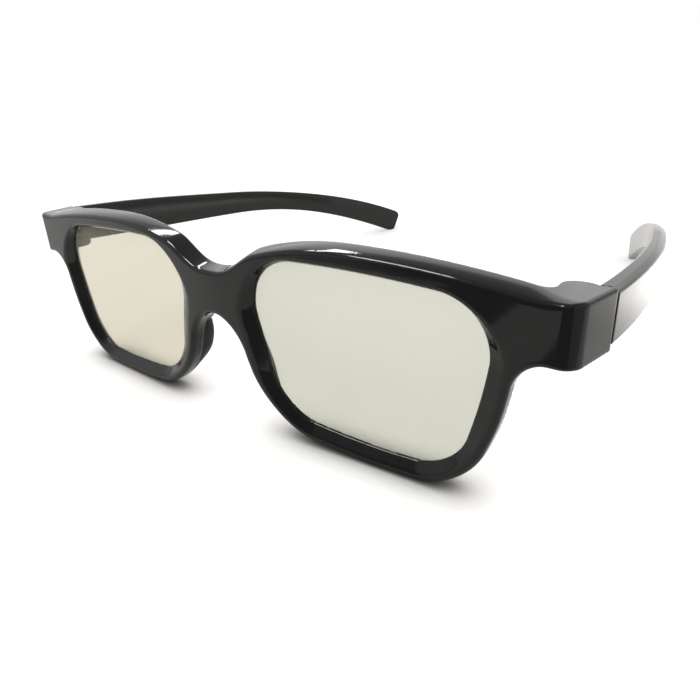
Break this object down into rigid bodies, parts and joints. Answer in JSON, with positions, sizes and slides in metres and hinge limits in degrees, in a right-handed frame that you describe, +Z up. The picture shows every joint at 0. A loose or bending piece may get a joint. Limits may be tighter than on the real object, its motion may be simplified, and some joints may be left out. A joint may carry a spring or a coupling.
{
  "type": "3d glasses",
  "caption": "Folding eyewear with a bevelled brow and dished rims, clear laminated polarising lenses clamped by rear rings with nose pads, and curved temples on pinned hinges.",
  "frame": {"origin": "middle of the overall box, on the floor on which the rims and the temple tips stand", "axes": "+X towards the wearer's left, which is to the right as seen from the front; +Y backwards along the temples; +Z up"},
  "size_m": [0.152, 0.143, 0.0415],
  "materials": {
    "black_plastic": "gloss moulded black",
    "lens_laminate": "clear, pale greenish grey",
    "pin_steel": "plain"
  },
  "bodies": {
    "front": {"front_frame": "black_plastic", "left_retainer_ring": "black_plastic", "right_retainer_ring": "black_plastic", "left_retarder_film": "lens_laminate", "right_retarder_film": "lens_laminate", "left_polariser_film": "lens_laminate", "right_polariser_film": "lens_laminate", "left_backing_sheet": "lens_laminate", "right_backing_sheet": "lens_laminate", "left_hinge_pin": "pin_steel", "right_hinge_pin": "pin_steel"},
    "left_temple": {"left_temple": "black_plastic"},
    "right_temple": {"right_temple": "black_plastic"}
  },
  "joints": [
    {"name": "left_temple_fold", "type": "hinge", "parent": "front", "child": "left_temple", "pos_m": [0.07108, -0.0584, 0.03251], "axis": [0, 0.0653, 0.9979], "range_deg": [0, 80]},
    {"name": "right_temple_fold", "type": "hinge", "parent": "front", "child": "right_temple", "pos_m": [-0.07108, -0.0584, 0.03251], "axis": [0, -0.0653, -0.9979], "range_deg": [0, 75]}
  ]
}
